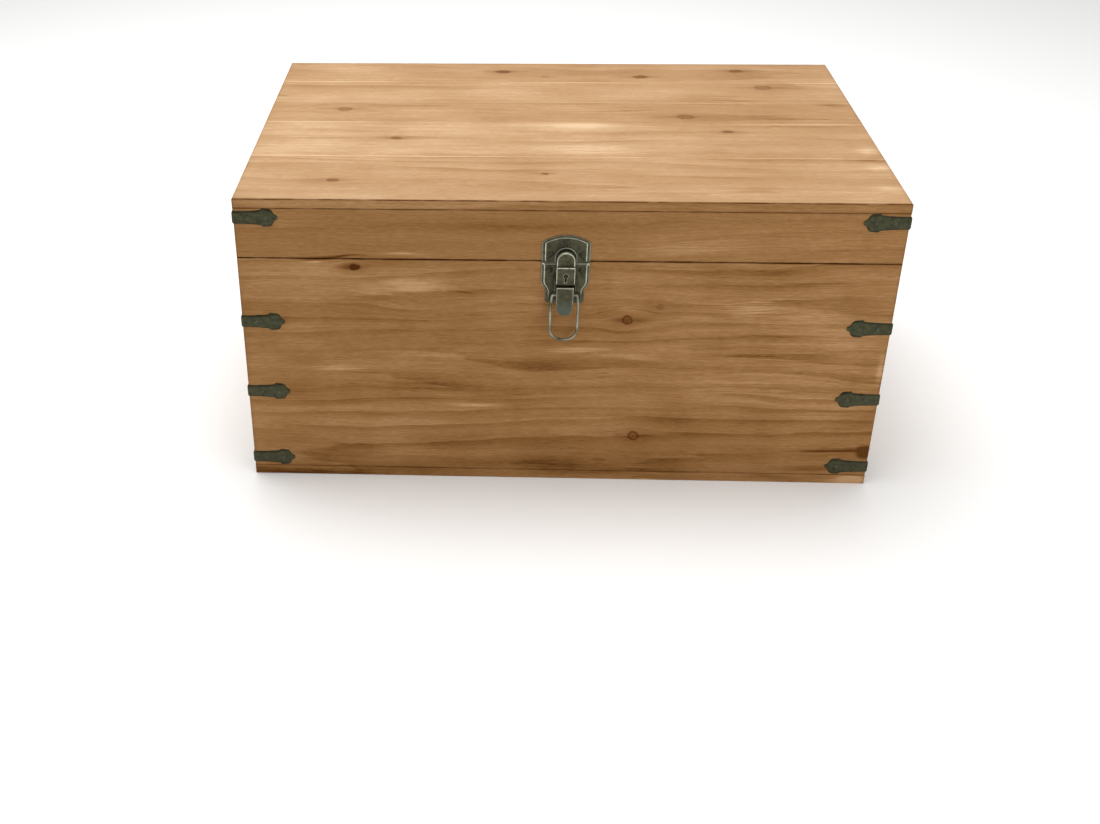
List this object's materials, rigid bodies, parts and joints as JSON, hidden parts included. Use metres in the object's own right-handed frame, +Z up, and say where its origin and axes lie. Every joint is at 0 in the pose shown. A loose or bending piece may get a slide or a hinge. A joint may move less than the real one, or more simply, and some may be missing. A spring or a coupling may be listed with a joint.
{
  "type": "wooden storage chest",
  "caption": "Rectangular pine storage chest with a hinged lid, iron corner straps and a keyed draw latch with a lever and a hanging wire bail.",
  "frame": {"origin": "on the floor, under the middle of the chest", "axes": "+X to the right seen from the front, +Y to the hinges at the back, +Z up"},
  "size_m": [0.6042, 0.4187, 0.294],
  "materials": {
    "pine_base": "stained and waxed",
    "pine_walls": "stained and waxed",
    "pine_top": "stained and waxed",
    "strap_iron": "blackened, hammered",
    "antique_steel": "antique bronze with bright worn edges",
    "plain_steel": "dull steel"
  },
  "bodies": {
    "chest_body": {"bottom_board": "pine_base", "front_board_low": "pine_walls", "front_board_mid": "pine_walls", "front_board_high": "pine_walls", "back_board_low": "pine_walls", "back_board_mid": "pine_walls", "back_board_high": "pine_walls", "left_board_low": "pine_walls", "left_board_mid": "pine_walls", "left_board_high": "pine_walls", "right_board_low": "pine_walls", "right_board_mid": "pine_walls", "right_board_high": "pine_walls", "front_left_straps": "strap_iron", "front_right_straps": "strap_iron", "back_left_straps": "strap_iron", "back_right_straps": "strap_iron", "body_strap_nails": "strap_iron", "left_hinge_body_leaf": "antique_steel", "right_hinge_body_leaf": "antique_steel", "hinge_pins": "plain_steel", "hinge_body_screws": "antique_steel", "stay_body_plate": "plain_steel", "stay_body_screws": "plain_steel", "latch_base": "antique_steel", "latch_base_screws": "antique_steel", "hook_pin": "plain_steel", "lever_pin": "plain_steel"},
    "lid": {"top_board_1": "pine_top", "top_board_2": "pine_top", "top_board_3": "pine_top", "top_board_4": "pine_top", "top_board_5": "pine_top", "lid_front_board": "pine_walls", "lid_back_board": "pine_walls", "lid_left_board": "pine_walls", "lid_right_board": "pine_walls", "lid_front_left_strap": "strap_iron", "lid_front_right_strap": "strap_iron", "lid_back_left_strap": "strap_iron", "lid_back_right_strap": "strap_iron", "lid_strap_nails": "strap_iron", "left_hinge_lid_leaf": "antique_steel", "right_hinge_lid_leaf": "antique_steel", "hinge_lid_screws": "antique_steel", "stay_lid_plate": "plain_steel", "stay_lid_screws": "plain_steel", "strike_plate": "antique_steel", "strike_catch": "antique_steel", "strike_screws": "antique_steel"},
    "stay_lower": {"stay_lower_arm": "plain_steel", "stay_elbow_rivet": "plain_steel"},
    "stay_upper": {"stay_upper_arm": "plain_steel"},
    "draw_hook": {"latch_hook": "antique_steel", "lock_case": "antique_steel", "key_post": "plain_steel"},
    "lock_bolt": {"lock_bolt": "plain_steel"},
    "lever": {"latch_lever": "antique_steel"},
    "bail": {"latch_bail": "antique_steel"}
  },
  "joints": [
    {"name": "lid_hinge", "type": "hinge", "parent": "chest_body", "child": "lid", "pos_m": [0, 0.2033, 0.236], "axis": [-1, 0, 0], "range_deg": [0, 100]},
    {"name": "stay_lower_hinge", "type": "hinge", "parent": "chest_body", "child": "stay_lower", "pos_m": [0.2862, 0.1533, 0.176], "axis": [-1, 0, 0], "range_deg": [0, 100]},
    {"name": "stay_upper_hinge", "type": "hinge", "parent": "lid", "child": "stay_upper", "pos_m": [0.2839, 0.1153, 0.251], "axis": [-1, 0, 0], "range_deg": [-100, 0]},
    {"name": "lever_hinge", "type": "hinge", "parent": "chest_body", "child": "lever", "pos_m": [0, -0.2075, 0.212], "axis": [-1, 0, 0], "range_deg": [-3.6, 60]},
    {"name": "hook_hinge", "type": "hinge", "parent": "chest_body", "child": "draw_hook", "pos_m": [0, -0.2068, 0.2198], "axis": [1, 0, 0], "range_deg": [-3, 50]},
    {"name": "bail_hinge", "type": "hinge", "parent": "lever", "child": "bail", "pos_m": [0, -0.2068, 0.2055], "axis": [-1, 0, 0], "range_deg": [-2.5, 95]},
    {"name": "bolt_slide", "type": "slide", "parent": "draw_hook", "child": "lock_bolt", "axis": [-1, 0, 0], "range_m": [0, 0.0042]}
  ],
  "couplings": [
    {"joint": "stay_lower_hinge", "follows": "lid_hinge", "ratio": 1},
    {"joint": "stay_upper_hinge", "follows": "lid_hinge", "ratio": -1},
    {"joint": "hook_hinge", "follows": "lever_hinge", "ratio": 0.8333}
  ]
}
